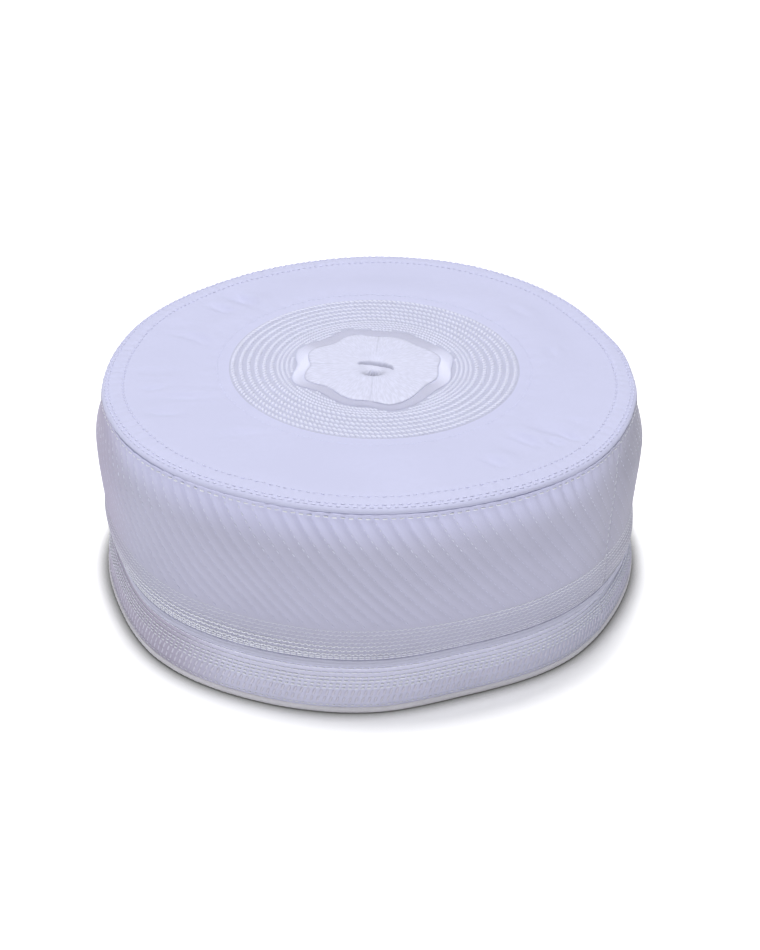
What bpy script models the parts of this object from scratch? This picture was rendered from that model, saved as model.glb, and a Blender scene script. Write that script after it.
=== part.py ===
"""A round, flat-topped cap of white cotton with an embroidered medallion on its crown.

The cap is sewn from a crown disc, a quilted side wall, a rounded welt, a lower band and a hem
binding, and the medallion lies on the crown as three thin layers of thread.
It stands on its hem: the floor is z = 0, the front is towards -Y and lengths are in metres.

Every piece is turned as part of a perfectly round cap, and settle() then takes each point to its
place on the real one, whose outline, rim and cloth are slightly uneven.
"""

import math

import bmesh
import bpy
from mathutils import Vector

# Driving sizes of the cap
HEM_RADIUS = 0.0940
RIM_RADIUS = 0.0952
CAP_HEIGHT = 0.0790

# Heights of the bands, counted up from the floor, and of the seam, counted down from the top
BINDING_HEIGHT = 0.0023
LOWER_BAND_HEIGHT = 0.0150
WELT_HEIGHT = 0.0029
SHOULDER_DEPTH = 0.0033
CROWN_SINK = 0.0039

# Thickness of the layers and the room between two sewn pieces
CROWN_CLOTH = 0.0020
WALL_QUILT = 0.0030
BAND_CLOTH = 0.0024
BINDING_CLOTH = 0.0012
SEAM_ALLOWANCE = 0.0042
SHOULDER_ROLL = 0.0067
SEWN_GAP = 0.0003

# The medallion
MEDALLION_RADIUS = 0.0506
FLOWER_RADIUS = 0.0265
SATIN_WIDTH = 0.0032
ROW_RELIEF = 0.0007
SATIN_RELIEF = 0.0010
PETAL_RELIEF = 0.0011

SEGMENTS = 72
WELT_STEPS = 6
SMOOTH_ANGLE = math.radians(40)

# Where the real outline takes over, as shares: outward from the middle, of the rim's radius, and
# upward from the floor, of the cap's height. Each eases from its first value to its second.
UNEVEN_SHARES = (0.58, 0.92)
HEM_TO_WALL_SHARES = (0.05, 0.65)
WALL_TO_RIM_SHARES = (0.70, 0.97)
RIM_DROP_SHARES = (0.30, 1.00)
CROWN_ONLY_SHARES = (0.80, 0.90)

# Height at which the welt's rise is whole, and how far above and below it that rise reaches
WELT_RISE_LEVEL_SHARE = 0.26
WELT_RISE_REACH_SHARE = 0.24

# Plan of the real cap. Azimuth in degrees from the front, positive to the right of the photo;
# hem and wall as shares of the hem's radius, rim of its own; drop and rise of the cap's height.
PLAN_SHARES = (
    # azimuth, hem share, wall share, rim share, rim drop, welt rise
    (-180.0, 0.982, 0.970, 0.946, 0.053, 0.000),
    (-157.5, 0.982, 0.960, 0.928, 0.053, 0.015),
    (-135.0, 0.984, 0.960, 0.921, 0.050, 0.028),
    (-112.5, 0.994, 0.982, 0.936, 0.042, 0.040),
    (-90.0, 1.000, 1.001, 0.954, 0.030, 0.045),
    (-67.5, 1.004, 1.008, 0.994, 0.010, 0.014),
    (-45.0, 1.040, 1.020, 1.020, 0.000, 0.000),
    (-22.5, 1.025, 1.012, 1.010, 0.000, 0.000),
    (0.0, 1.004, 1.003, 1.010, 0.000, 0.000),
    (20.0, 0.961, 0.986, 1.002, 0.000, 0.000),
    (45.0, 0.986, 0.990, 1.000, 0.000, 0.000),
    (67.5, 0.978, 0.978, 0.958, 0.010, -0.026),
    (90.0, 0.990, 0.972, 0.926, 0.030, -0.048),
    (112.5, 0.992, 0.968, 0.912, 0.044, -0.034),
    (135.0, 0.990, 0.966, 0.938, 0.052, -0.018),
    (157.5, 0.986, 0.970, 0.954, 0.053, -0.008),
)

# Rise of the crown from its sunken middle to the shoulder.
CROWN_RISE_SHARES = (
    # radius as a share of the rim, sink as a share of the crown's
    (0.000, 1.26),
    (0.030, 1.18),
    (0.075, 1.00),
    (0.230, 1.00),
    (0.400, 0.96),
    (0.550, 0.84),
    (0.670, 0.62),
    (0.780, 0.36),
    (0.865, 0.13),
)

# Roll of the crown's edge over the shoulder and down to its seam.
SHOULDER_SHARES = (
    # outward as a share of the roll, downward as a share of the shoulder
    (0.00, 0.00),
    (0.45, 0.05),
    (0.78, 0.22),
    (0.97, 0.52),
    (1.00, 0.78),
    (0.90, 1.00),
)

# Swell of the quilted wall, from the welt up to the shoulder seam.
WALL_SWELL_SHARES = (
    # height as a share of the wall, outward as a share of the quilt
    (0.000, -0.55),
    (0.020, -0.28),
    (0.080, -0.30),
    (0.200, -0.22),
    (0.360, -0.06),
    (0.540, 0.12),
    (0.720, 0.16),
    (0.880, 0.05),
    (0.970, 0.10),
    (0.990, 0.02),
    (1.000, -0.25),
)

# Lean of the lower band, from the binding up to the welt.
BAND_LEAN_SHARES = (
    # height as a share of the band, outward as a share of its cloth
    (0.00, 0.02),
    (0.28, -0.10),
    (0.58, -0.36),
    (0.84, -0.60),
    (1.00, -0.66),
)

# Section of the welt: how far it bows out and how far it sits in
WELT_BOW_SHARE = 0.50
WELT_ROOT_SHARE = 0.55

# How far the hem binding stands proud of the band, as a share of its own cloth
BINDING_PROUD_SHARE = 0.30

# Section of the hem binding, from the inner edge of its resting face round to the inner side.
BINDING_SHARES = (
    # from the cap's inside (0) to its outside (1) and height, both as shares of the binding's
    (0.09, 0.00),
    (0.85, 0.00),
    (1.00, 0.22),
    (1.00, 0.75),
    (0.87, 1.00),
    (0.00, 1.00),
    (0.00, 0.20),
)

# Section of the satin band: half width and relief, as shares.
SATIN_SHARES = (
    (-1.00, 0.00),
    (-1.00, 0.45),
    (-0.45, 1.00),
    (0.45, 1.00),
    (1.00, 0.45),
    (1.00, 0.00),
)

# Relief of the flower: on the line between two petals, in the eyelet, round it and at the edge
PETAL_LINE_SHARE = 0.55
PETAL_LINE_DEGREES = 9.0
EYELET_SHARE = 0.50
HEART_SHARE = 0.40
PETAL_EDGE_SHARE = 0.55

# The flower's outline: where the band of satin dips between petals and where it bulges round one.
PETAL_SHARES = (
    # dip azimuth, dip share, bulge azimuth, bulge share
    (-180.0, 0.925, -160.0, 1.000),
    (-138.0, 0.915, -113.0, 1.030),
    (-89.0, 0.945, -66.0, 1.070),
    (-45.0, 0.930, -18.0, 1.025),
    (-3.0, 1.020, 13.0, 1.135),
    (48.0, 0.950, 68.0, 0.975),
    (88.0, 0.940, 107.0, 1.000),
    (134.0, 0.910, 155.0, 0.945),
)

# Soft creases of the crown, outside the medallion.
CREASE_SHARES = (
    # azimuth, radius as a share of the rim, half length and half width as the same, depth share
    (52.0, 0.780, 0.150, 0.060, 0.20),
    (38.0, 0.760, 0.130, 0.055, 0.14),
    (-62.0, 0.780, 0.150, 0.050, 0.12),
    (-84.0, 0.800, 0.150, 0.050, 0.14),
    (-112.0, 0.760, 0.170, 0.060, 0.22),
    (-136.0, 0.800, 0.150, 0.060, 0.20),
)

# Folds of the side: where the quilted wall sags over the welt, and the dent beside its join.
SIDE_FOLD_SHARES = (
    # azimuth, height share, half width in degrees, half height share, outward as a share of the quilt
    (-72.0, 0.335, 26.0, 0.075, 0.34),
    (-72.0, 0.225, 26.0, 0.045, -0.30),
    (74.0, 0.310, 22.0, 0.075, 0.30),
    (72.0, 0.190, 24.0, 0.040, -0.34),
    (66.0, 0.620, 7.0, 0.300, 0.20),
    (57.0, 0.620, 6.0, 0.300, -0.22),
)

# Finish of each piece: red, green, blue and roughness
FINISHES = {
    "crown": (0.80, 0.80, 0.88, 0.80),
    "row_stitching": (0.86, 0.86, 0.93, 0.60),
    "satin_outline": (0.84, 0.84, 0.92, 0.45),
    "flower": (0.88, 0.88, 0.95, 0.50),
    "side_wall": (0.78, 0.78, 0.86, 0.78),
    "welt": (0.80, 0.80, 0.87, 0.72),
    "lower_band": (0.78, 0.78, 0.86, 0.78),
    "hem_binding": (0.82, 0.81, 0.87, 0.70),
}

# Heights that follow from the driving sizes
BAND_FOOT = BINDING_HEIGHT + SEWN_GAP
BAND_HEAD = BINDING_HEIGHT + LOWER_BAND_HEIGHT
WELT_FOOT = BAND_HEAD + SEWN_GAP
WELT_HEAD = BAND_HEAD + WELT_HEIGHT
WALL_FOOT = WELT_HEAD + SEWN_GAP
SEAM_HEIGHT = CAP_HEIGHT - SHOULDER_DEPTH
WALL_HEAD = SEAM_HEIGHT - SEWN_GAP


def smooth(low, high, value):
    """A share that eases from 0 at low to 1 at high."""
    share = min(max((value - low) / (high - low), 0.0), 1.0)
    return share * share * (3 - 2 * share)


def bump(offset, half_width):
    """A soft hump of height 1 that ends half_width away from its middle."""
    share = min(abs(offset) / half_width, 1.0)
    return (1 - share * share) ** 2


def turn_between(azimuth, other):
    """Degrees from one azimuth to another, the short way round."""
    return (azimuth - other + 180.0) % 360.0 - 180.0


def around(rows, azimuth, column):
    """The value of a table's column at an azimuth, on a smooth curve that closes on itself."""
    count = len(rows)
    place = (azimuth - rows[0][0]) % 360.0
    starts = [row[0] - rows[0][0] for row in rows] + [360.0]
    index = max(i for i in range(count) if starts[i] <= place)
    span = starts[index + 1] - starts[index]
    share = (place - starts[index]) / span

    def slope(i):
        before, after = rows[(i - 1) % count], rows[(i + 1) % count]
        return (after[column] - before[column]) / ((after[0] - before[0]) % 360.0)

    first, second = rows[index][column], rows[(index + 1) % count][column]
    rise_in, rise_out = slope(index) * span, slope(index + 1) * span
    square, cube = share ** 2, share ** 3
    return (
        first * (2 * cube - 3 * square + 1)
        + rise_in * (cube - 2 * square + share)
        + second * (3 * square - 2 * cube)
        + rise_out * (cube - square)
    )


def along(rows, place):
    """The second column of a table at a value of its first, in straight steps."""
    for low, high in zip(rows, rows[1:]):
        if place <= high[0]:
            return low[1] + (high[1] - low[1]) * (place - low[0]) / (high[0] - low[0])
    return rows[-1][1]


def settle(point):
    """Take a point of the perfectly round cap to its place on the real one."""
    radius = math.hypot(point.x, point.y)
    azimuth = math.degrees(math.atan2(point.x, -point.y))
    up = point.z / CAP_HEIGHT
    edge = smooth(*UNEVEN_SHARES, radius / RIM_RADIUS)

    hem, wall, rim, drop, rise = (around(PLAN_SHARES, azimuth, column) for column in range(1, 6))
    outline = hem + (wall - hem) * smooth(*HEM_TO_WALL_SHARES, up)
    outline += (rim - wall) * smooth(*WALL_TO_RIM_SHARES, up)
    reach = radius * (1 + (outline - 1) * edge)
    height = point.z - drop * CAP_HEIGHT * edge * smooth(*RIM_DROP_SHARES, up)
    height += rise * CAP_HEIGHT * edge * bump(up - WELT_RISE_LEVEL_SHARE, WELT_RISE_REACH_SHARE)

    for middle, level, half_turn, half_height, swell in SIDE_FOLD_SHARES:
        fold = bump(turn_between(azimuth, middle), half_turn) * bump(up - level, half_height)
        reach += swell * WALL_QUILT * fold * edge

    across = radius / RIM_RADIUS
    for middle, centre, half_length, half_width, depth in CREASE_SHARES:
        aside = math.radians(turn_between(azimuth, middle)) * across
        crease = bump(across - centre, half_length) * bump(aside, half_width)
        height -= depth * CROWN_SINK * crease * smooth(*CROWN_ONLY_SHARES, up)

    turn = math.radians(azimuth)
    return Vector((reach * math.sin(turn), -reach * math.cos(turn), height))


def turned(profile_at, closed_on_axis=False):
    """Turn a section into a closed ring, or into a disc whose section starts and ends on the axis.

    profile_at gives the section's (radius, height) points at an azimuth in degrees.
    """
    model = bmesh.new()
    rings = []
    for step in range(SEGMENTS):
        azimuth = 360.0 * step / SEGMENTS
        turn = math.radians(azimuth)
        ring = []
        for radius, height in profile_at(azimuth):
            ring.append(model.verts.new((radius * math.sin(turn), -radius * math.cos(turn), height)))
        rings.append(ring)
    for ring, after in zip(rings, rings[1:] + rings[:1]):
        edges = list(zip(ring, ring[1:]))
        follow = list(zip(after, after[1:]))
        if not closed_on_axis:
            edges.append((ring[-1], ring[0]))
            follow.append((after[-1], after[0]))
        for (low, high), (low_after, high_after) in zip(edges, follow):
            model.faces.new((low, low_after, high_after, high))
    bmesh.ops.remove_doubles(model, verts=model.verts, dist=1e-6)
    bmesh.ops.recalc_face_normals(model, faces=model.faces)
    return model


def crown_top(radius):
    """Height of the crown's upper side on the round cap, inside its shoulder."""
    rise = CROWN_RISE_SHARES + ((1 - SHOULDER_ROLL / RIM_RADIUS, 0.0),)
    return CAP_HEIGHT - CROWN_SINK * along(rise, radius / RIM_RADIUS)


def satin_middle(azimuth):
    """Radius of the middle of the satin band round the flower."""
    rows = []
    for dip_azimuth, dip, bulge_azimuth, bulge in PETAL_SHARES:
        rows.append((dip_azimuth, dip))
        rows.append((bulge_azimuth, bulge))
    return FLOWER_RADIUS * around(rows, azimuth, 1)


def crown_section(_azimuth):
    """The crown disc, its shoulder, its turned-in edge and its underside."""
    upper = [(share * RIM_RADIUS, CAP_HEIGHT - sink * CROWN_SINK) for share, sink in CROWN_RISE_SHARES]
    roll_start = RIM_RADIUS - SHOULDER_ROLL
    shoulder = []
    for out, down in SHOULDER_SHARES:
        shoulder.append((roll_start + out * SHOULDER_ROLL, CAP_HEIGHT - down * SHOULDER_DEPTH))
    turned_in = [(RIM_RADIUS - SEAM_ALLOWANCE, SEAM_HEIGHT)]
    lower = [(radius, height - CROWN_CLOTH) for radius, height in upper[::2] + shoulder[:1]]
    return upper + shoulder + turned_in + lower[::-1]


def wall_section(_azimuth):
    """The quilted wall: its swelling outer side, its turned-in head and its inner side."""
    height = WALL_HEAD - WALL_FOOT
    outer = []
    for share, out in WALL_SWELL_SHARES:
        base = HEM_RADIUS + (RIM_RADIUS - HEM_RADIUS) * share
        outer.append((base + out * WALL_QUILT, WALL_FOOT + share * height))
    inner = []
    for share, out in WALL_SWELL_SHARES[1:-2]:
        base = HEM_RADIUS + (RIM_RADIUS - HEM_RADIUS) * share
        inner.append((base + (out - 1) * WALL_QUILT, WALL_FOOT + share * height))
    foot = (inner[0][0], WALL_FOOT)
    turned_in = (RIM_RADIUS - SEAM_ALLOWANCE, WALL_HEAD)
    return outer + [turned_in] + inner[:0:-2] + [foot]


def welt_section(_azimuth):
    """The welt: a cord in a folded strip, round outside and flat inside."""
    middle = (WELT_FOOT + WELT_HEAD) / 2
    half = (WELT_HEAD - WELT_FOOT) / 2
    back = HEM_RADIUS - WALL_QUILT
    root = HEM_RADIUS - WELT_ROOT_SHARE * BAND_CLOTH
    swell = WELT_BOW_SHARE * WELT_HEIGHT
    points = [(back, WELT_FOOT)]
    for step in range(WELT_STEPS + 1):
        turn = math.pi * step / WELT_STEPS - math.pi / 2
        points.append((root + swell * math.cos(turn), middle + half * math.sin(turn)))
    points.append((back, WELT_HEAD))
    return points


def band_section(_azimuth):
    """The lower band, leaning in towards the welt."""
    height = BAND_HEAD - BAND_FOOT
    outer = [(HEM_RADIUS + out * BAND_CLOTH, BAND_FOOT + share * height) for share, out in BAND_LEAN_SHARES]
    inner = [(radius - BAND_CLOTH, level) for radius, level in (outer[-1], outer[2], outer[0])]
    return outer + inner


def binding_section(_azimuth):
    """The folded strip under the band: flat where it rests, rounded at its outer edge."""
    outer = HEM_RADIUS + BINDING_PROUD_SHARE * BINDING_CLOTH
    inner = HEM_RADIUS - BAND_CLOTH
    return [(inner + (outer - inner) * out, BINDING_HEIGHT * up) for out, up in BINDING_SHARES]


def thread_layer(radii, relief):
    """Section of a thin layer of thread that lies on the crown between the given radii."""
    upper = [(radius, crown_top(radius) + SEWN_GAP + relief) for radius in radii]
    lower = [(radius, crown_top(radius) + SEWN_GAP) for radius in radii]
    return upper + lower[::-1]


def rows_section(azimuth):
    """The field of stitch rows, from the satin band to the medallion's edge."""
    inner = satin_middle(azimuth) + SATIN_WIDTH / 2 + SEWN_GAP
    knee = CROWN_RISE_SHARES[4][0] * RIM_RADIUS
    last = MEDALLION_RADIUS
    return thread_layer([inner, knee, last - 2 * ROW_RELIEF, last], ROW_RELIEF)


def satin_section(azimuth):
    """The satin band: a low rounded ridge round the flower."""
    middle = satin_middle(azimuth)
    half = SATIN_WIDTH / 2
    base = crown_top(middle) + SEWN_GAP
    return [(middle + half * out, base + SATIN_RELIEF * up) for out, up in SATIN_SHARES]


def petal_fullness(azimuth):
    """How full the flower is at an azimuth: low on the line between two petals, 1 in a petal."""
    nearest = min(abs(turn_between(azimuth, row[0])) for row in PETAL_SHARES)
    return PETAL_LINE_SHARE + (1 - PETAL_LINE_SHARE) * smooth(0.0, PETAL_LINE_DEGREES, nearest)


def flower_section(azimuth):
    """The flower: a disc of petals, low at the eyelet and at its edge."""
    edge = satin_middle(azimuth) - SATIN_WIDTH / 2 - SEWN_GAP
    fullness = petal_fullness(azimuth)
    dimple = CROWN_RISE_SHARES[1][0] * RIM_RADIUS
    heart = CROWN_RISE_SHARES[2][0] * RIM_RADIUS
    body = (heart + edge) / 2
    radii = [0.0, dimple, heart, body, edge]
    round_heart = EYELET_SHARE + HEART_SHARE * fullness
    reliefs = [EYELET_SHARE, EYELET_SHARE, round_heart, fullness, PETAL_EDGE_SHARE * fullness]
    upper = []
    for radius, share in zip(radii, reliefs):
        upper.append((radius, crown_top(radius) + SEWN_GAP + share * PETAL_RELIEF))
    lower = [(radius, crown_top(radius) + SEWN_GAP) for radius in radii]
    return upper + lower[::-1]


def finish(name):
    """The piece's own cloth or thread."""
    red, green, blue, roughness = FINISHES[name]
    material = bpy.data.materials.new(name)
    material.use_nodes = True
    shader = material.node_tree.nodes["Principled BSDF"]
    shader.inputs["Base Color"].default_value = (red, green, blue, 1.0)
    shader.inputs["Roughness"].default_value = roughness
    shader.inputs["Metallic"].default_value = 0.0
    material.diffuse_color = (red, green, blue, 1.0)
    return material


def add_piece(name, model):
    """Settle a turned shape on the real cap and make it an object of its own."""
    for vert in model.verts:
        vert.co = settle(vert.co)
    mesh = bpy.data.meshes.new(name)
    model.to_mesh(mesh)
    model.free()
    mesh.materials.append(finish(name))
    mesh.shade_smooth()
    mesh.set_sharp_from_angle(angle=SMOOTH_ANGLE)
    piece = bpy.data.objects.new(name, mesh)
    bpy.context.scene.collection.objects.link(piece)
    return piece


def centre_on_floor(pieces):
    """Move the cap so that the middle of its outline stands on the origin."""
    corners = [vert.co for piece in pieces for vert in piece.data.vertices]
    middle_x = (min(co.x for co in corners) + max(co.x for co in corners)) / 2
    middle_y = (min(co.y for co in corners) + max(co.y for co in corners)) / 2
    for piece in pieces:
        for vert in piece.data.vertices:
            vert.co.x -= middle_x
            vert.co.y -= middle_y


def build_cap():
    """Make every piece of the cap."""
    pieces = [
        add_piece("crown", turned(crown_section, closed_on_axis=True)),
        add_piece("row_stitching", turned(rows_section)),
        add_piece("satin_outline", turned(satin_section)),
        add_piece("flower", turned(flower_section, closed_on_axis=True)),
        add_piece("side_wall", turned(wall_section)),
        add_piece("welt", turned(welt_section)),
        add_piece("lower_band", turned(band_section)),
        add_piece("hem_binding", turned(binding_section)),
    ]
    centre_on_floor(pieces)


for leftover in list(bpy.data.objects):
    bpy.data.objects.remove(leftover, do_unlink=True)
build_cap()
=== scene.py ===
"""The looks of a round, flat-topped cap of white cotton with an embroidered medallion.

Every piece is turned on a perfectly round cap, gets its relief there, and settle() then takes each
point to its place on the real one, whose outline, rim and cloth are slightly uneven. Stitches are
beads of thread laid on that cloth. Lengths are in metres, +Z is up and the front is towards -Y.
"""

import math

import bmesh
import bpy
import numpy as np
from mathutils import Matrix, Vector, noise


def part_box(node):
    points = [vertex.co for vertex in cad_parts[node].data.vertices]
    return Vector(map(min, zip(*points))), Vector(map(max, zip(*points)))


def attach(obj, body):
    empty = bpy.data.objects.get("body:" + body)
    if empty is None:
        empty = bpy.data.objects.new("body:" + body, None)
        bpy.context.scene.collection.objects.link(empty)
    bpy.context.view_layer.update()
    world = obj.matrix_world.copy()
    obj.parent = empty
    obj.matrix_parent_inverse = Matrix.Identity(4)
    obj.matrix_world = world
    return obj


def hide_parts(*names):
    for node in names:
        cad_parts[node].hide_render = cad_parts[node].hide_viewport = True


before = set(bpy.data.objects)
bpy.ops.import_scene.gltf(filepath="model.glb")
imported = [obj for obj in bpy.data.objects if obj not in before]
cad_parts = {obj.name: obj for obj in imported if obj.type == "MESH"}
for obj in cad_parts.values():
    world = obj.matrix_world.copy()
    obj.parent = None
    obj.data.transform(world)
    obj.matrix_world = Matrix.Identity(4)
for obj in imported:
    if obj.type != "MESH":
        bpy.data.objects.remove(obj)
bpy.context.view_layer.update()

# The round cap that the pieces are turned on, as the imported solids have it
HEM_RADIUS = 0.0940
RIM_RADIUS = 0.0952
CAP_HEIGHT = 0.0790
BINDING_HEIGHT = 0.0023
LOWER_BAND_HEIGHT = 0.0150
WELT_HEIGHT = 0.0029
SHOULDER_DEPTH = 0.0023
CROWN_SINK = 0.0039
CROWN_CLOTH = 0.0020
WALL_QUILT = 0.0030
BAND_CLOTH = 0.0024
BINDING_CLOTH = 0.0012
SEAM_ALLOWANCE = 0.0042
SHOULDER_ROLL = 0.0067
SEWN_GAP = 0.0003
FOLD_GAP = 0.00004
FLOWER_RADIUS = 0.0265
SATIN_WIDTH = 0.0032

BAND_FOOT = BINDING_HEIGHT + FOLD_GAP
BAND_HEAD = BINDING_HEIGHT + LOWER_BAND_HEIGHT
WELT_FOOT = BAND_HEAD + FOLD_GAP
WELT_HEAD = BAND_HEAD + WELT_HEIGHT
WALL_FOOT = WELT_HEAD + FOLD_GAP
SEAM_HEIGHT = CAP_HEIGHT - SHOULDER_DEPTH
WALL_HEAD = SEAM_HEIGHT - FOLD_GAP

# The round medallion shows where the round cap's axis stands in the frame, and how large it is
MEDALLION_LOW, MEDALLION_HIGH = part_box("row_stitching")
AXIS = np.array([(MEDALLION_LOW[0] + MEDALLION_HIGH[0]) / 2, (MEDALLION_LOW[1] + MEDALLION_HIGH[1]) / 2, 0.0])
MEDALLION_RADIUS = (MEDALLION_HIGH[0] - MEDALLION_LOW[0]) / 2

# Where the real outline takes over, as shares of the rim's radius and of the cap's height
UNEVEN_SHARES = (0.58, 0.92)
HEM_TO_WALL_SHARES = (0.05, 0.65)
WALL_TO_RIM_SHARES = (0.70, 0.97)
RIM_DROP_SHARES = (0.30, 1.00)
CROWN_ONLY_SHARES = (0.80, 0.90)
WELT_RISE_LEVEL_SHARE = 0.26
WELT_RISE_REACH_SHARE = 0.24

# Plan of the real cap: azimuth in degrees from the front, shares of the radius, drop and rise of the height
PLAN_SHARES = (
    # azimuth, hem share, wall share, rim share, rim drop, welt rise
    (-180.0, 0.982, 0.970, 0.946, 0.053, 0.000),
    (-157.5, 0.982, 0.960, 0.928, 0.053, 0.015),
    (-135.0, 0.984, 0.960, 0.921, 0.050, 0.028),
    (-112.5, 0.994, 0.982, 0.936, 0.042, 0.040),
    (-90.0, 1.000, 1.001, 0.954, 0.030, 0.045),
    (-67.5, 1.004, 1.008, 0.994, 0.010, 0.014),
    (-45.0, 1.040, 1.020, 1.020, 0.000, 0.000),
    (-22.5, 1.025, 1.012, 1.010, 0.000, 0.000),
    (0.0, 1.004, 1.003, 1.010, 0.000, 0.000),
    (20.0, 0.961, 0.986, 1.002, 0.000, 0.000),
    (45.0, 0.986, 0.990, 1.000, 0.000, 0.000),
    (67.5, 0.978, 0.978, 0.958, 0.010, -0.026),
    (90.0, 0.990, 0.972, 0.926, 0.030, -0.048),
    (112.5, 0.992, 0.968, 0.912, 0.044, -0.034),
    (135.0, 0.990, 0.966, 0.938, 0.052, -0.018),
    (157.5, 0.986, 0.970, 0.954, 0.053, -0.008),
)

# Rise of the crown from its sunken middle: radius as a share of the rim, sink as a share of the crown's
CROWN_RISE_SHARES = (
    (0.000, 1.26),
    (0.030, 1.18),
    (0.075, 1.00),
    (0.230, 1.00),
    (0.400, 0.96),
    (0.550, 0.84),
    (0.670, 0.62),
    (0.780, 0.36),
    (0.865, 0.13),
)

# Roll of the crown's edge: outward as a share of the roll, downward as a share of the shoulder
SHOULDER_SHARES = ((0.00, 0.00), (0.45, 0.05), (0.78, 0.22), (0.96, 0.50), (1.00, 0.78), (0.99, 1.00))

# Swell of the wall: height as a share of the wall, outward as a share of the quilt
WALL_SWELL_SHARES = (
    (0.000, -0.34),
    (0.020, -0.26),
    (0.080, -0.28),
    (0.200, -0.22),
    (0.360, -0.06),
    (0.540, 0.12),
    (0.720, 0.16),
    (0.880, 0.05),
    (0.970, 0.05),
    (0.990, 0.07),
    (1.000, 0.03),
)

# Lean of the lower band: height as a share of the band, outward as a share of its cloth
BAND_LEAN_SHARES = ((0.00, 0.02), (0.28, -0.10), (0.58, -0.36), (0.84, -0.60), (1.00, -0.66))

# The flower's outline: where the satin band dips between petals and where it bulges round one
PETAL_SHARES = (
    # dip azimuth, dip share, bulge azimuth, bulge share
    (-180.0, 0.925, -160.0, 1.000),
    (-138.0, 0.915, -113.0, 1.030),
    (-89.0, 0.945, -66.0, 1.070),
    (-45.0, 0.930, -18.0, 1.025),
    (-3.0, 1.020, 13.0, 1.135),
    (48.0, 0.950, 68.0, 0.975),
    (88.0, 0.940, 107.0, 1.000),
    (134.0, 0.910, 155.0, 0.945),
)

# Where the petals' threads part, in degrees from the front
PARTINGS = (-3.0, 176.0, -92.0)

# Soft creases that the solid crown has
CREASE_SHARES = (
    # azimuth, radius as a share of the rim, half length and half width as the same, depth share
    (52.0, 0.780, 0.150, 0.060, 0.20),
    (38.0, 0.760, 0.130, 0.055, 0.14),
    (-62.0, 0.780, 0.150, 0.050, 0.12),
    (-84.0, 0.800, 0.150, 0.050, 0.14),
    (-112.0, 0.760, 0.170, 0.060, 0.22),
    (-136.0, 0.800, 0.150, 0.060, 0.20),
)

# Folds of the side that the solid wall has
SIDE_FOLD_SHARES = (
    # azimuth, height share, half width in degrees, half height share, outward as a share of the quilt
    (-72.0, 0.335, 26.0, 0.075, 0.34),
    (-72.0, 0.225, 26.0, 0.045, -0.30),
    (74.0, 0.310, 22.0, 0.075, 0.30),
    (72.0, 0.190, 24.0, 0.040, -0.34),
    (66.0, 0.620, 7.0, 0.300, 0.20),
    (57.0, 0.620, 6.0, 0.300, -0.22),
)

# Sharper wrinkles that only the crown's outer cloth has, on the crown seen from above
WRINKLES = (
    # from x, from y, to x, to y, bow, half width, depth
    (0.0418, -0.0458, 0.0540, -0.0585, 0.0010, 0.0035, 0.00115),
    (0.0540, -0.0510, 0.0605, -0.0575, 0.0006, 0.0030, 0.00108),
    (0.0600, -0.0460, 0.0665, -0.0540, -0.0006, 0.0027, 0.00086),
    (0.0640, -0.0380, 0.0710, -0.0450, 0.0000, 0.0030, 0.00050),
    (0.0335, -0.0625, 0.0415, -0.0710, 0.0006, 0.0035, 0.00101),
    (-0.0500, -0.0525, -0.0320, -0.0480, 0.0016, 0.0030, 0.00072),
    (-0.0745, -0.0385, -0.0580, -0.0370, 0.0004, 0.0030, 0.00058),
    (-0.0765, -0.0285, -0.0500, -0.0240, 0.0006, 0.0032, 0.00072),
    (-0.0790, -0.0220, -0.0700, -0.0200, 0.0000, 0.0027, 0.00072),
    (-0.0790, 0.0235, -0.0560, 0.0080, 0.0050, 0.0041, 0.00115),
    (-0.0655, 0.0495, -0.0510, 0.0365, 0.0012, 0.0038, 0.00108),
    (-0.0480, 0.0560, -0.0420, 0.0400, -0.0010, 0.0038, 0.00072),
    (-0.0560, 0.0590, -0.0470, 0.0480, 0.0006, 0.0032, 0.00072),
    (0.0620, 0.0150, 0.0622, 0.0060, 0.0000, 0.0030, 0.00058),
    (0.0480, 0.0480, 0.0570, 0.0380, 0.0004, 0.0041, 0.00043),
)

# Quilting of the wall
QUILT_ROWS = 125
QUILT_TRAVEL = 19.4
QUILT_CURVE = 1.29
QUILT_LAG = 7.1
QUILT_LAG_AZIMUTH = -58.0
QUILT_LAG_REACH = 36.0
QUILT_RELIEF = 0.00024
GATHER_RELIEF = 0.00042
GATHER_DEPTH = 0.0115
JOIN_AZIMUTH = 58.0

# The wall's soft waves: their depth, the size of a hump and the noise's seed
WALL_WAVE = 0.00035
WALL_WAVE_SIZE = 0.020
WALL_WAVE_SEED = 5.3

# The eyelet border above the welt
BORDER_FOOT = 0.0218
BORDER_HEAD = 0.0322
BORDER_CELLS = 300
BORDER_ROWS = 7
EYELET_WAVE = 0.00032

# The lower band's slanting strokes: how many, and their lean in degrees for each metre of height
STROKES = 290
STROKE_LEAN = 200.0

# The stitch rows round the crown's edge and the wall's head: radius, phase and tilt of those on the roll
EDGE_STITCHES = 236
EDGE_ROW_RADIUS = 0.0879
ROLL_ROWS = ((0.0929, 0.1, 16.0), (0.0940, 0.6, 30.0))
WALL_ROW_HEIGHT = 0.0752
RING_ROW_RADIUS = 0.0537
RING_STITCHES = 168
STITCH_RISE = 0.00004

# The weave: threads round the cap and up its section, and to the metre where it lies flat
ROUND_THREADS = 1480
UP_THREADS = 200
FLAT_THREADS = 2500


def smooth(low, high, value):
    """A share that eases from 0 at low to 1 at high."""
    share = np.clip((value - low) / (high - low), 0.0, 1.0)
    return share * share * (3 - 2 * share)


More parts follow.
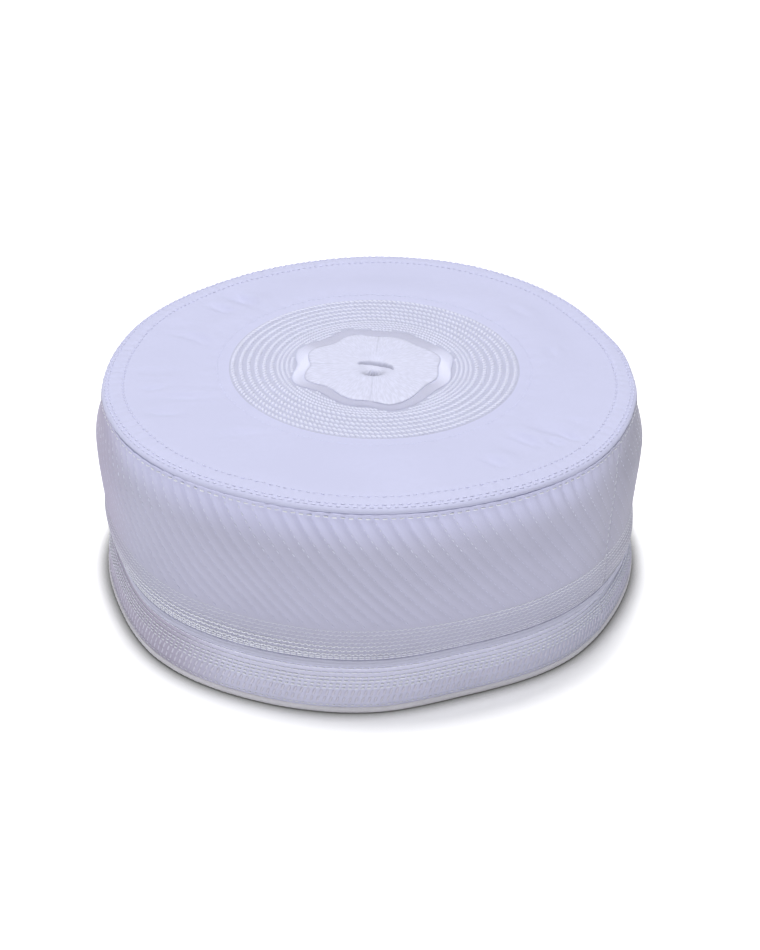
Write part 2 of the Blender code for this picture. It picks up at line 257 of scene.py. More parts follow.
def bump(offset, half_width):
    """A soft hump of height 1 that ends half_width away from its middle."""
    share = np.minimum(np.abs(offset) / half_width, 1.0)
    return (1 - share * share) ** 2


def turn_between(azimuth, other):
    """Degrees from one azimuth to another, the short way round."""
    return (azimuth - other + 180.0) % 360.0 - 180.0


def cubic(share, start, leaving, end, arriving):
    """A smooth curve's value at a share of the way, from the values and slopes of its ends."""
    square, cube = share ** 2, share ** 3
    return (
        start * (2 * cube - 3 * square + 1)
        + leaving * (cube - 2 * square + share)
        + end * (3 * square - 2 * cube)
        + arriving * (cube - square)
    )


def around(rows, azimuth, column):
    """The value of a table's column at each azimuth, on a smooth curve that closes on itself."""
    starts = np.array([row[0] for row in rows])
    values = np.array([row[column] for row in rows])
    ends = np.append(starts[1:], starts[0] + 360.0)
    slopes = (np.roll(values, -1) - np.roll(values, 1)) / ((np.roll(starts, -1) - np.roll(starts, 1)) % 360.0)
    place = starts[0] + (np.asarray(azimuth, float) - starts[0]) % 360.0
    index = np.clip(np.searchsorted(starts, place, side="right") - 1, 0, len(rows) - 1)
    after = (index + 1) % len(rows)
    span = ends[index] - starts[index]
    share = (place - starts[index]) / span
    return cubic(share, values[index], slopes[index] * span, values[after], slopes[after] * span)


def settle(azimuth, radius, height):
    """Take points of the perfectly round cap to their places on the real one, in the frame."""
    up = height / CAP_HEIGHT
    edge = smooth(*UNEVEN_SHARES, radius / RIM_RADIUS)
    hem, wall, rim, drop, rise = (around(PLAN_SHARES, azimuth, column) for column in range(1, 6))
    outline = hem + (wall - hem) * smooth(*HEM_TO_WALL_SHARES, up)
    outline = outline + (rim - wall) * smooth(*WALL_TO_RIM_SHARES, up)
    reach = radius * (1 + (outline - 1) * edge)
    settled = height - drop * CAP_HEIGHT * edge * smooth(*RIM_DROP_SHARES, up)
    settled = settled + rise * CAP_HEIGHT * edge * bump(up - WELT_RISE_LEVEL_SHARE, WELT_RISE_REACH_SHARE)
    for middle, level, half_turn, half_height, swell in SIDE_FOLD_SHARES:
        fold = bump(turn_between(azimuth, middle), half_turn) * bump(up - level, half_height)
        reach = reach + swell * WALL_QUILT * fold * edge
    across = radius / RIM_RADIUS
    for middle, centre, half_length, half_width, depth in CREASE_SHARES:
        aside = np.radians(turn_between(azimuth, middle)) * across
        crease = bump(across - centre, half_length) * bump(aside, half_width)
        settled = settled - depth * CROWN_SINK * crease * smooth(*CROWN_ONLY_SHARES, up)
    turn = np.radians(azimuth)
    return np.column_stack((reach * np.sin(turn), -reach * np.cos(turn), settled)) + AXIS


def upright(azimuth, radius, height):
    """Points of the round cap as x, y and z about its own axis."""
    turn = np.radians(azimuth)
    return np.column_stack((radius * np.sin(turn), -radius * np.cos(turn), height + 0 * turn))


def round_place(points):
    """Azimuth, radius and height of points about the round cap's axis."""
    azimuth = np.degrees(np.arctan2(points[:, 0], -points[:, 1]))
    return azimuth, np.hypot(points[:, 0], points[:, 1]), points[:, 2]


def uneven(points, size, seed):
    """A soft random value from about -1 to 1 at each point, with humps of the given size."""
    shift = Vector((seed, 2.0 * seed, 3.0 * seed))
    return np.array([noise.noise(Vector(point) / size + shift) for point in points])


def curve_through(points, spacing):
    """Points about spacing apart on a smooth curve through the given ones."""
    keys = np.array(points, float)
    steps = np.linalg.norm(np.diff(keys, axis=0), axis=1)
    slopes = np.empty_like(keys)
    slopes[1:-1] = (keys[2:] - keys[:-2]) / (steps[1:] + steps[:-1])[:, None]
    slopes[0] = (keys[1] - keys[0]) / steps[0]
    slopes[-1] = (keys[-1] - keys[-2]) / steps[-1]
    parts = []
    for index, step in enumerate(steps):
        count = max(1, round(step / spacing))
        share = (np.arange(count) / count)[:, None]
        leaving, arriving = slopes[index] * step, slopes[index + 1] * step
        parts.append(cubic(share, keys[index], leaving, keys[index + 1], arriving))
    return np.vstack(parts + [keys[-1:]])


def crown_curve():
    """The crown's upper side and shoulder on the round cap, from the axis to the seam."""
    points = [(share * RIM_RADIUS, CAP_HEIGHT - sink * CROWN_SINK) for share, sink in CROWN_RISE_SHARES]
    roll_start = RIM_RADIUS - SHOULDER_ROLL
    for out, down in SHOULDER_SHARES:
        points.append((roll_start + out * SHOULDER_ROLL, CAP_HEIGHT - down * SHOULDER_DEPTH))
    return points


def wall_curve():
    """The wall's outer side on the round cap, from the welt to the shoulder seam."""
    points = []
    for share, out in WALL_SWELL_SHARES:
        base = HEM_RADIUS + (RIM_RADIUS - HEM_RADIUS) * share
        points.append((base + out * WALL_QUILT, WALL_FOOT + share * (WALL_HEAD - WALL_FOOT)))
    return points


def band_curve():
    """The lower band's outer side on the round cap, from the binding to the welt."""
    height = BAND_HEAD - BAND_FOOT
    return [(HEM_RADIUS + out * BAND_CLOTH, BAND_FOOT + share * height) for share, out in BAND_LEAN_SHARES]


FINE = 0.0002
CROWN_LINE = curve_through(crown_curve(), FINE)
WALL_LINE = curve_through(wall_curve(), FINE)
BAND_LINE = curve_through(band_curve(), FINE)
CROWN_OUTERMOST = int(np.argmax(CROWN_LINE[:, 0]))


def crown_top(radius):
    """Height of the crown's upper side on the round cap."""
    return np.interp(radius, CROWN_LINE[:CROWN_OUTERMOST, 0], CROWN_LINE[:CROWN_OUTERMOST, 1])


def satin_middle(azimuth):
    """Radius of the middle of the satin band round the flower."""
    rows = []
    for dip_azimuth, dip, bulge_azimuth, bulge in PETAL_SHARES:
        rows.append((dip_azimuth, dip))
        rows.append((bulge_azimuth, bulge))
    return FLOWER_RADIUS * around(rows, azimuth, 1)


def satin_inside(azimuth):
    """Radius of the satin band's inner edge, which is wider at the sides and at the back."""
    narrow = bump(turn_between(azimuth, -10.0), 70.0)
    return satin_middle(azimuth) - SATIN_WIDTH / 2 - 0.0018 + 0.0007 * narrow


def quilt_lean(azimuth, height):
    """How far round, in degrees, a quilting row has run at a height since it left the seam."""
    down = np.clip((WALL_HEAD - height) / (WALL_HEAD - BORDER_HEAD), 0.0, 1.3)
    lag = QUILT_LAG * bump(turn_between(azimuth, QUILT_LAG_AZIMUTH), QUILT_LAG_REACH)
    return QUILT_TRAVEL * down ** QUILT_CURVE - lag * down * (1.45 - 0.45 * down)


def quilt_azimuth(start, height):
    """Where the quilting row that leaves the seam at an azimuth is at a height."""
    azimuth = start
    for _ in range(12):
        azimuth = start + quilt_lean(azimuth, height)
    return azimuth


def quilt_relief(azimuth, height):
    """How far the wadding swells between the quilting rows, with gathers under the seam."""
    place = (azimuth - quilt_lean(azimuth, height)) * QUILT_ROWS / 360.0
    row = np.floor(place)
    share = place - row
    puff = np.sin(math.pi * share) ** 0.6
    groove = bump(np.minimum(share, 1 - share), 0.24)
    pulls = np.array([noise.noise(Vector((value * 0.37, 4.1, 2.3))) for value in range(QUILT_ROWS)])
    shift = pulls[(row % QUILT_ROWS).astype(int)]
    gather = smooth(WALL_HEAD - GATHER_DEPTH * (1 + 0.5 * shift), WALL_HEAD - 0.1 * GATHER_DEPTH, height)
    tight = bump(turn_between(azimuth, 6.0), 7.0) * bump(height - 0.0670, 0.0075)
    quilted = smooth(BORDER_HEAD - 0.001, BORDER_HEAD + 0.004, height)
    inside_seam = smooth(WALL_HEAD, WALL_HEAD - 0.002, height)
    slack = 1 - 0.45 * bump(turn_between(azimuth, 40.0), 40.0)
    quilting = -QUILT_RELIEF * slack * (1 + 0.5 * shift) * quilted * groove
    gathers = GATHER_RELIEF * (gather * (1 + 0.9 * shift) + 0.8 * tight) * (puff - 0.55)
    return (quilting + gathers) * inside_seam


def join_relief(azimuth, reach):
    """The overlapped join of a strip: a ridge and a step down within about 4 mm."""
    along = np.radians(turn_between(azimuth, JOIN_AZIMUTH)) * reach
    return 0.00030 * bump(along + 0.0016, 0.0024) - 0.00034 * bump(along - 0.0004, 0.0013)


def wall_face(azimuth, height):
    """Radius of the wall's quilted outer side on the round cap."""
    base = np.interp(height, WALL_LINE[:, 1], WALL_LINE[:, 0])
    wave = WALL_WAVE * uneven(upright(azimuth, base, height), WALL_WAVE_SIZE, WALL_WAVE_SEED)
    pulled = -0.00016 * bump(height - WALL_ROW_HEIGHT, 0.0011)
    relief = quilt_relief(azimuth, height) + join_relief(azimuth, base) + wave + pulled
    return base + relief * smooth(WALL_FOOT, WALL_FOOT + 0.003, height)


def band_face(azimuth, height):
    """Radius of the lower band's outer side on the round cap, with soft ridges under its strokes."""
    base = np.interp(height, BAND_LINE[:, 1], BAND_LINE[:, 0])
    wave = 0.00020 * uneven(upright(azimuth, base, height), 0.014, 8.8)
    pulled = -0.00008 * bump(height - 0.0156, 0.0007) - 0.00010 * bump(height - 0.0034, 0.0007)
    lean = np.cos(np.radians(azimuth - STROKE_LEAN * height) * STROKES)
    ridges = 0.00016 * bump(height - 0.0066, 0.0042) * lean
    return base + 0.9 * join_relief(azimuth, base) + wave + pulled + ridges


def faced(line, face, depth):
    """A turned cloth's shape: its relief from face, for what lies less than a depth behind the plain line."""
    def shape(azimuth, radius, height):
        plain = np.interp(height, line[:, 1], line[:, 0])
        outside = radius > plain - depth
        return azimuth, np.where(outside, radius - plain + face(azimuth, height), radius), height
    return shape


def crown_shift(azimuth, radius):
    """How far the crown's cotton moves outward and upward: undulations, wrinkles, puckers and pulled rows."""
    points = upright(azimuth, radius, crown_top(radius))
    edge = smooth(RIM_RADIUS - SHOULDER_ROLL, RIM_RADIUS, radius)
    free = smooth(0.95 * MEDALLION_RADIUS, 1.25 * MEDALLION_RADIUS, radius)
    soft = 0.00070 * uneven(points, 0.030, 3.1) + 0.00022 * uneven(points, 0.011, 7.7)
    ripple = 0.00014 * np.sin(np.radians(azimuth) * 46) * bump(radius - 1.09 * MEDALLION_RADIUS, 0.006)
    rim_points = upright(azimuth, 0 * radius + RIM_RADIUS, 0 * radius)
    pucker_size = 0.00020 * (1 + uneven(rim_points, 0.012, 1.9))
    pucker = pucker_size * np.sin(np.radians(azimuth) * QUILT_ROWS) * smooth(0.0850, 0.0905, radius)
    pulled = -0.00022 * bump(radius - EDGE_ROW_RADIUS, 0.0015)
    pulled = pulled - 0.00012 * bump(radius - RING_ROW_RADIUS, 0.0014)
    lift = (soft * free + ripple + wrinkle_relief(azimuth, radius) * free) * (1 - edge)
    under_flower = -0.0018 * smooth(0.0125, 0.0095, radius)
    head_points = upright(azimuth, 0 * radius + RIM_RADIUS, WALL_HEAD + 0 * radius)
    with_wall = WALL_WAVE * uneven(head_points, WALL_WAVE_SIZE, WALL_WAVE_SEED)
    return (0.3 * pucker + with_wall) * edge, lift + pulled + under_flower + pucker * (1 - edge)


def turned(section, steps, closed=True):
    """A grid rolled up round the axis, each of its rows at one (radius, height) point of the section."""
    rows = [*section, section[0]] if closed else list(section)
    model = bmesh.new()
    bmesh.ops.create_grid(model, x_segments=steps, y_segments=len(rows) - 1, size=1.0)
    for vert in model.verts:
        radius, height = rows[round((vert.co.y + 1) / 2 * (len(rows) - 1))]
        turn = math.pi * vert.co.x
        vert.co = (radius * math.sin(turn), -radius * math.cos(turn), height)
    bmesh.ops.remove_doubles(model, verts=model.verts, dist=1e-6)
    bmesh.ops.recalc_face_normals(model, faces=model.faces)
    return model


def add_object(name, mesh, material, node=None):
    """Put a finished mesh in the scene as a piece that rides on the cap."""
    mesh.materials.append(material)
    mesh.shade_smooth()
    piece = bpy.data.objects.new(name, mesh)
    bpy.context.scene.collection.objects.link(piece)
    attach(piece, "root")
    if node:
        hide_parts(node)
    return piece


def cloth_map(mesh, azimuth, across):
    """A UV map that follows the cloth: turns round the cap, and a share across the piece."""
    layer = mesh.uv_layers.new(name="cloth")
    loops = np.empty(len(mesh.loops), dtype=np.int32)
    mesh.loops.foreach_get("vertex_index", loops)
    turns = (azimuth[loops] / 360.0) % 1.0
    sizes = np.empty(len(mesh.polygons), dtype=np.int32)
    mesh.polygons.foreach_get("loop_total", sizes)
    owner = np.repeat(np.arange(len(sizes)), sizes)
    highest = np.zeros(len(sizes))
    np.maximum.at(highest, owner, turns)
    turns = np.where(highest[owner] - turns > 0.5, turns + 1.0, turns)
    places = np.column_stack((turns, across[loops]))
    layer.data.foreach_set("uv", places.astype(np.float32).ravel())


def cloth_piece(name, model, shape, material, node, flat_top=False):
    """A turned mesh, with its relief from shape(azimuth, radius, height), settled on the real cap.

    Its UV map runs across by height, or by radius on a flat top, as a share of the cap's own.
    """
    mesh = bpy.data.meshes.new(name)
    model.to_mesh(mesh)
    model.free()
    points = np.empty(len(mesh.vertices) * 3)
    mesh.vertices.foreach_get("co", points)
    azimuth, radius, height = round_place(points.reshape(-1, 3))
    cloth_map(mesh, azimuth, radius / RIM_RADIUS if flat_top else height / CAP_HEIGHT)
    places = settle(*shape(azimuth, radius, height))
    mesh.vertices.foreach_set("co", places.astype(np.float32).ravel())
    mesh.update()
    return add_object(name, mesh, material, node)


def bead_shape(sides, rings):
    """Points and faces of one bead of thread along X, blunt at its ends, one unit in half size."""
    model = bmesh.new()
    quarter = Matrix.Rotation(math.pi / 2, 4, "Y")
    bmesh.ops.create_uvsphere(model, u_segments=sides, v_segments=rings, radius=1.0, matrix=quarter)
    bmesh.ops.recalc_face_normals(model, faces=model.faces)
    points = np.array([vert.co[:] for vert in model.verts])
    points[:, 0] = np.sign(points[:, 0]) * np.abs(points[:, 0]) ** 0.6
    faces = [[vert.index for vert in face.verts] for face in model.faces]
    model.free()
    return points, faces


def lay_beads(starts, ends, tilt, half_width, half_height, sides=5, rings=3, overhang=1.0):
    """Points and faces of a bead of thread from each start to each end, on the round cap.

    starts and ends are (azimuth, radius, height) arrays. tilt turns the bead's upper side from
    straight up, at 0, to straight out, at 90 degrees.
    """
    first, last = upright(*starts), upright(*ends)
    middle = (first + last) / 2
    run = last - first
    length = np.linalg.norm(run, axis=1)[:, None]
    run = run / length
    turn = np.arctan2(middle[:, 0], -middle[:, 1])
    lean = np.radians(tilt) + 0 * turn
    face = np.column_stack((np.sin(lean) * np.sin(turn), -np.sin(lean) * np.cos(turn), np.cos(lean)))
    side = np.cross(face, run)
    side /= np.linalg.norm(side, axis=1)[:, None]
    face = np.cross(run, side)
    shape, faces = bead_shape(sides, rings)
    half_width = np.asarray(half_width) + np.zeros(len(middle))
    half_height = np.asarray(half_height) + np.zeros(len(middle))
    points = (
        middle[:, None, :]
        + shape[None, :, 0:1] * (run * length * 0.5 * overhang)[:, None, :]
        + shape[None, :, 1:2] * (side * half_width[:, None])[:, None, :]
        + shape[None, :, 2:3] * (face * half_height[:, None])[:, None, :]
    )
    offsets = np.arange(len(middle)) * len(shape)
    all_faces = []
    for face_verts in faces:
        all_faces.extend((offsets[:, None] + np.array(face_verts)[None, :]).tolist())
    return points.reshape(-1, 3), all_faces


def bead_piece(name, groups, material, node=None):
    """Several runs of beads settled on the real cap as one piece."""
    points, faces, count = [], [], 0
    for group_points, group_faces in groups:
        points.append(group_points)
        faces.extend([[index + count for index in face] for face in group_faces])
        count += len(group_points)
    places = settle(*round_place(np.vstack(points)))
    mesh = bpy.data.meshes.new(name)
    mesh.from_pydata(places.tolist(), [], faces)
    mesh.update()
    return add_object(name, mesh, material, node)


def ring_of_stitches(count, share, at, phase=0.0):
    """Starts and ends of count stitches round the cap, each filling a share of its own stretch.

    at(azimuth) gives the radius and height of the line that they follow.
    """
    stretch = 360.0 / count
    start = (np.arange(count) + phase) * stretch - 180.0
    end = start + share * stretch
    return (start, *at(start)), (end, *at(end))


def on_face(face, azimuth, level, rise=0.0):
    """Azimuth, radius and height of a point that lies a little above a cloth's outer side."""
    return azimuth, face(azimuth, level) + rise, level


def line_on(face, level):
    """The line at one level on a cloth's outer side, for a ring of stitches."""
    def at(azimuth):
        return on_face(face, azimuth, level + 0 * azimuth, STITCH_RISE)[1:]
    return at


# Colours, as they look in the photo's light, out of 255
CROWN_WHITE = (208, 210, 239)
WALL_WHITE = (194, 194, 218)
WELT_WHITE = (198, 199, 221)
BAND_WHITE = (225, 225, 249)
# Painted shade towards the band's and the wall's sides: duller, and a little pinker at the left
BAND_LEFT_SHADE = (186, 180, 202)
BAND_RIGHT_SHADE = (200, 201, 223)
WALL_LEFT_SHADE = (188, 182, 207)
WALL_RIGHT_SHADE = (178, 177, 196)
BINDING_WHITE = (249, 247, 255)
THREAD_WHITE = (232, 234, 254)
SEWING_WHITE = (242, 244, 255)
EDGE_ROW_WHITE = (222, 224, 252)
QUILTING_WHITE = (214, 215, 241)
STROKE_WHITE = (226, 224, 243)
# Painted shade: the darker ground that shows between the medallion's rows
GROUND_SHADE_WHITE = (196, 198, 221)
WALL_HEAD_PAINTED_LIGHT = (210, 211, 242)
SATIN_WHITE = (212, 213, 235)
SATIN_PAINTED_SHEEN = (224, 226, 248)
PETAL_WHITE = (229, 231, 254)
FLOOR_WHITE = (252, 252, 252)
FLOOR_SHADOW = (150, 150, 148)
FLOOR_GLOW = 0.34

# The floor: its half size, how far the hem's shadow reaches, and where its glow starts and ends to grow
FLOOR_REACH = 40.0
SHADOW_REACH = 0.011
GLOW_GROWS = (1.1, 3.0)

# Light and camera, as the photograph has them: places, aims, sizes in metres and watts
OVERHEAD = ((-0.03, 0.085, 1.45), (0.0, 0.0, 0.05), 0.25, 15.4)
FRONT = ((-0.42, -0.98, 0.90), (0.0, 0.0, 0.04), 0.6, 2.3)
SKY_STRENGTH = 0.23
CAMERA_PLACE = (0.0008, -0.5982, 0.4005)
CAMERA_AIM = (0.0033, 0.0019, 0.0316)
CAMERA_ROLL = 0.82
LENS = 75.56


def linear(colour, share=1.0):
    """A colour out of 255, dulled by a share, as the shader's linear red, green, blue and alpha."""
    values = [value * share / 255 for value in colour]
    channels = [((value + 0.055) / 1.055) ** 2.4 if value > 0.04045 else value / 12.92 for value in values]
    return channels + [1.0]


def node_group(name, inputs, outputs):
    """An empty shader node group with its sockets, its first and its last node."""
    group = bpy.data.node_groups.new(name, "ShaderNodeTree")
    for label, kind, value in inputs:
        socket = group.interface.new_socket(name=label, in_out="INPUT", socket_type=kind)
        if value is not None:
            socket.default_value = value
    for label, kind in outputs:
        group.interface.new_socket(name=label, in_out="OUTPUT", socket_type=kind)
    return group, group.nodes.new("NodeGroupInput"), group.nodes.new("NodeGroupOutput")


def set_or_link(tree, socket, value):
    """Give a node's input a fixed value, or another node's output."""
    if isinstance(value, (int, float, tuple, list)):
        socket.default_value = value
    else:
        tree.links.new(value, socket)


def maths(tree, operation, *values):
    """A Math node; each input is a number or another node's output."""
    node = tree.nodes.new("ShaderNodeMath")
    node.operation = operation
    for index, value in enumerate(values):
        set_or_link(tree, node.inputs[index], value)
    return node.outputs[0]


def vector_maths(tree, operation, vector, by=(0.0, 0.0, 0.0)):
    """A Vector Math node on a vector and fixed numbers."""
    node = tree.nodes.new("ShaderNodeVectorMath")
    node.operation = operation
    node.inputs[1].default_value = by
    tree.links.new(vector, node.inputs[0])
    return node.outputs


def axes(tree, vector):
    """The three numbers of a vector."""
    node = tree.nodes.new("ShaderNodeSeparateXYZ")
    tree.links.new(vector, node.inputs[0])
    return node.outputs


def mix_colours(tree, share, first, second):
    """A colour mixed from first to second by a share."""
    node = tree.nodes.new("ShaderNodeMix")
    node.data_type = "RGBA"
    tree.links.new(share, node.inputs["Factor"])
    set_or_link(tree, node.inputs[6], first)
    set_or_link(tree, node.inputs[7], second)
    return node.outputs[2]


def soft_noise(tree, place, scale, detail=2.0):
    """A noise texture's value at a place."""
    node = tree.nodes.new("ShaderNodeTexNoise")
    node.inputs["Scale"].default_value = scale
    node.inputs["Detail"].default_value = detail
    tree.links.new(place, node.inputs["Vector"])
    return node.outputs["Fac"]


def weave_group():
    """Plain weave: warp and weft pass over each other in turn, with slightly uneven yarns."""
    group, given, result = node_group(
        "plain_weave",
        [
            ("Place", "NodeSocketVector", None),
            ("Warp", "NodeSocketFloat", 3000.0),
            ("Weft", "NodeSocketFloat", 3000.0),
        ],
        [("Height", "NodeSocketFloat")],
    )
    across, along, _ = axes(group, given.outputs["Place"])
    warp = maths(group, "SINE", maths(group, "MULTIPLY", across, given.outputs["Warp"]))
    weft = maths(group, "SINE", maths(group, "MULTIPLY", along, given.outputs["Weft"]))
    over = maths(group, "MULTIPLY", warp, weft)
    slub = soft_noise(group, given.outputs["Place"], 900.0)
    height = maths(group, "MULTIPLY_ADD", over, 0.3, slub)
    group.links.new(height, result.inputs["Height"])
    return group


def mottle_group():
    """Soft colour variation of cotton: large faint patches and small flecks, as a share."""
    group, given, result = node_group(
        "cotton_mottle", [("Place", "NodeSocketVector", None)], [("Share", "NodeSocketFloat")]
    )
    patches = soft_noise(group, given.outputs["Place"], 22.0, 3.0)
    flecks = soft_noise(group, given.outputs["Place"], 420.0, 2.0)
    share = maths(group, "MULTIPLY_ADD", flecks, 0.45, maths(group, "MULTIPLY", patches, 0.75))
    group.links.new(maths(group, "SUBTRACT", share, 0.1), result.inputs["Share"])
    return group


WEAVE = weave_group()
MOTTLE = mottle_group()


def place_group(tree, group, **values):
    """An instance of a node group in a material, with numbers or links for its inputs."""
    node = tree.nodes.new("ShaderNodeGroup")
    node.node_tree = group
    for label, value in values.items():
        set_or_link(tree, node.inputs[label], value)
    return node.outputs[0]


def mottled(name, colour, dullest):
    """A new material's tree, its places, and its colour, mottled down to a share of itself."""
    material = bpy.data.materials.new(name)
    material.use_nodes = True
    tree = material.node_tree
    places = tree.nodes.new("ShaderNodeTexCoord").outputs
    share = place_group(tree, MOTTLE, Place=places["Object"])
    return material, tree, places, mix_colours(tree, share, linear(colour, dullest), linear(colour))


def finish_shader(tree, base, height, strength, distance, settings):
    """Give the shader its colour, its relief and its other settings."""
    shader = tree.nodes["Principled BSDF"]
    tree.links.new(base, shader.inputs["Base Color"])
    relief = tree.nodes.new("ShaderNodeBump")
    relief.inputs["Strength"].default_value = strength
    relief.inputs["Distance"].default_value = distance
    tree.links.new(height, relief.inputs["Height"])
    tree.links.new(relief.outputs["Normal"], shader.inputs["Normal"])
    for label, value in settings.items():
        shader.inputs[label].default_value = value


def cotton(name, colour, roughness, sheen, follows_cloth=True, finish=None):
    """Woven cotton: mottled colour, a plain weave and a soft sheen.

    finish(tree, places, base, height, colour) may change the colour and the relief of one piece.
    """
    material, tree, places, base = mottled(name, colour, 0.955)
    if follows_cloth:
        place, warp, weft = places["UV"], math.tau * ROUND_THREADS, math.tau * UP_THREADS
    else:
        place, warp, weft = places["Object"], math.tau * FLAT_THREADS, math.tau * FLAT_THREADS
    height = place_group(tree, WEAVE, Place=place, Warp=warp, Weft=weft)
    if finish:
        base, height = finish(tree, places, base, height, colour)
    finish_shader(tree, base, height, 0.5, 0.00006, {
        "Roughness": roughness,
        "Sheen Weight": sheen,
        "Sheen Roughness": 0.5,
        "Specular IOR Level": 0.3,
    })
    return material


def dots(tree, turns, across, count, level, half_height, half_share=0.24):
    """A mask of round dots along a row: count round the cap, at a level across the cloth."""
    cell = maths(tree, "FRACT", maths(tree, "MULTIPLY", turns, float(count)))
    aside = maths(tree, "DIVIDE", maths(tree, "SUBTRACT", cell, 0.5), half_share)
    up = maths(tree, "DIVIDE", maths(tree, "SUBTRACT", across, level), half_height)
    reach = maths(tree, "ADD", maths(tree, "POWER", aside, 2.0), maths(tree, "POWER", up, 2.0))
    mask = maths(tree, "SUBTRACT", 1.0, reach)
    mask.node.use_clamp = True
    return mask


def ease(tree, value, low, high):
    """A share that eases from 0 at low to 1 at high, in nodes."""
    node = tree.nodes.new("ShaderNodeMapRange")
    node.interpolation_type = "SMOOTHSTEP"
    node.inputs["From Min"].default_value = low
    node.inputs["From Max"].default_value = high
    tree.links.new(value, node.inputs["Value"])
    return node.outputs["Result"]


def needle_holes_and_shade(tree, places, base, height, colour, count, level):
    """Small needle holes between the stitches of a row: a dip in the relief, with painted shade in them."""
    turns, across, _ = axes(tree, places["UV"])
    holes = dots(tree, turns, across, count, level, 0.0066)
    base = mix_colours(tree, holes, base, linear(colour, 0.86))
    return base, maths(tree, "MULTIPLY_ADD", holes, -0.8, height)


def crown_tone_and_hole_shade(tree, places, base, height, colour):
    """Faint broad tones that vary at random, and the needle holes of the crown's edge row, with painted shade
    in them.
    """
    broad = ease(tree, soft_noise(tree, places["Object"], 38.0, 1.0), 0.36, 0.60)
    base = mix_colours(tree, broad, linear(colour, 0.975), base)
    return needle_holes_and_shade(tree, places, base, height, colour, EDGE_STITCHES, EDGE_ROW_RADIUS / RIM_RADIUS)


def side_shade(tree, places, base, side, low, high, colour):
    """Painted shade: cotton duller towards one side of the cap (-1 left, 1 right), eased in from low to high
    metres out.
    """
    out = maths(tree, "MULTIPLY", axes(tree, places["Object"])[0], side)
    return mix_colours(tree, ease(tree, out, low, high), base, linear(colour))


def band_side_shade(tree, places, base, height, colour):
    """Painted shade: the band is duller towards its sides, most at the left."""
    base = side_shade(tree, places, base, -1.0, 0.040, 0.070, BAND_LEFT_SHADE)
    return side_shade(tree, places, base, 1.0, 0.040, 0.080, BAND_RIGHT_SHADE), height


def wall_light_shade_and_eyelets(tree, places, base, height, colour):
    """Painted light on a paler head, painted shade on duller sides and over the border, and the border's
    eyelets: dips in the relief with painted shade, strongest low at its front left.
    """
    around_cap, up_cap, _ = axes(tree, places["UV"])
    # Painted light: the wall's upper part is coloured paler towards the seam.
    base = mix_colours(tree, ease(tree, up_cap, 0.76, 0.94), base, linear(WALL_HEAD_PAINTED_LIGHT))
    foot, head = BORDER_FOOT / CAP_HEIGHT, BORDER_HEAD / CAP_HEIGHT
    level = maths(tree, "MULTIPLY", maths(tree, "SUBTRACT", up_cap, foot), BORDER_ROWS / (head - foot))
    row = maths(tree, "FLOOR", level)
    cell = maths(tree, "MULTIPLY_ADD", around_cap, float(BORDER_CELLS), maths(tree, "MULTIPLY", row, 0.5))
    across = maths(tree, "MULTIPLY", maths(tree, "SUBTRACT", maths(tree, "FRACT", cell), 0.5), 2.6)
    up = maths(tree, "MULTIPLY", maths(tree, "SUBTRACT", maths(tree, "FRACT", level), 0.5), 2.4)
    reach = maths(tree, "ADD", maths(tree, "POWER", across, 2.0), maths(tree, "POWER", up, 2.0))
    hole = maths(tree, "SUBTRACT", 1.0, reach)
    hole.node.use_clamp = True
    inside = maths(tree, "MULTIPLY", maths(tree, "GREATER_THAN", level, 0.0),
                   maths(tree, "LESS_THAN", level, float(BORDER_ROWS)))
    turns = maths(tree, "FRACT", maths(tree, "ADD", around_cap, 0.5))
    front_left = maths(tree, "MULTIPLY", ease(tree, turns, 0.300, 0.345), ease(tree, turns, 0.520, 0.455))
    low_rows = ease(tree, level, 3.3, 2.7)
    eyelet_shade_share = maths(tree, "MULTIPLY_ADD", maths(tree, "MULTIPLY", front_left, low_rows), 0.85, 0.15)
    hole = maths(tree, "MULTIPLY", maths(tree, "MULTIPLY", hole, inside), eyelet_shade_share)
    # Painted shade: the eyelets are darkened, strongest in the low rows at the front left; the same mask dips
    # the relief.
    base = mix_colours(tree, hole, base, linear(colour, 0.72))
    # Painted shade: darker over the border, fading out from its middle rows to a little above its head.
    border_shade = maths(tree, "MULTIPLY", maths(tree, "MULTIPLY", ease(tree, level, 9.0, 4.0), 0.8),
                  maths(tree, "GREATER_THAN", level, -0.5))
    base = mix_colours(tree, border_shade, base, linear(colour, 0.93))
    # Painted shade: the wall is duller towards its far left and far right.
    base = side_shade(tree, places, base, -1.0, 0.074, 0.092, WALL_LEFT_SHADE)
    base = side_shade(tree, places, base, 1.0, 0.062, 0.090, WALL_RIGHT_SHADE)
    return base, maths(tree, "MULTIPLY_ADD", hole, -2.0, height)


def thread(name, colour, roughness, specular, metallic=0.0, finish=None):
    """Embroidery thread: fine fibres, a soft shine and slightly uneven colour.

    finish(tree, places, base, colour) may change the colour of one piece.
    """
    material, tree, places, base = mottled(name, colour, 0.94)
    if finish:
        base = finish(tree, places, base, colour)
    finish_shader(tree, base, soft_noise(tree, places["Object"], 1400.0, 3.0), 0.35, 0.00005, {
        "Roughness": roughness,
        "Metallic": metallic,
        "Sheen Weight": 0.1,
        "Specular IOR Level": specular,
    })
    return material


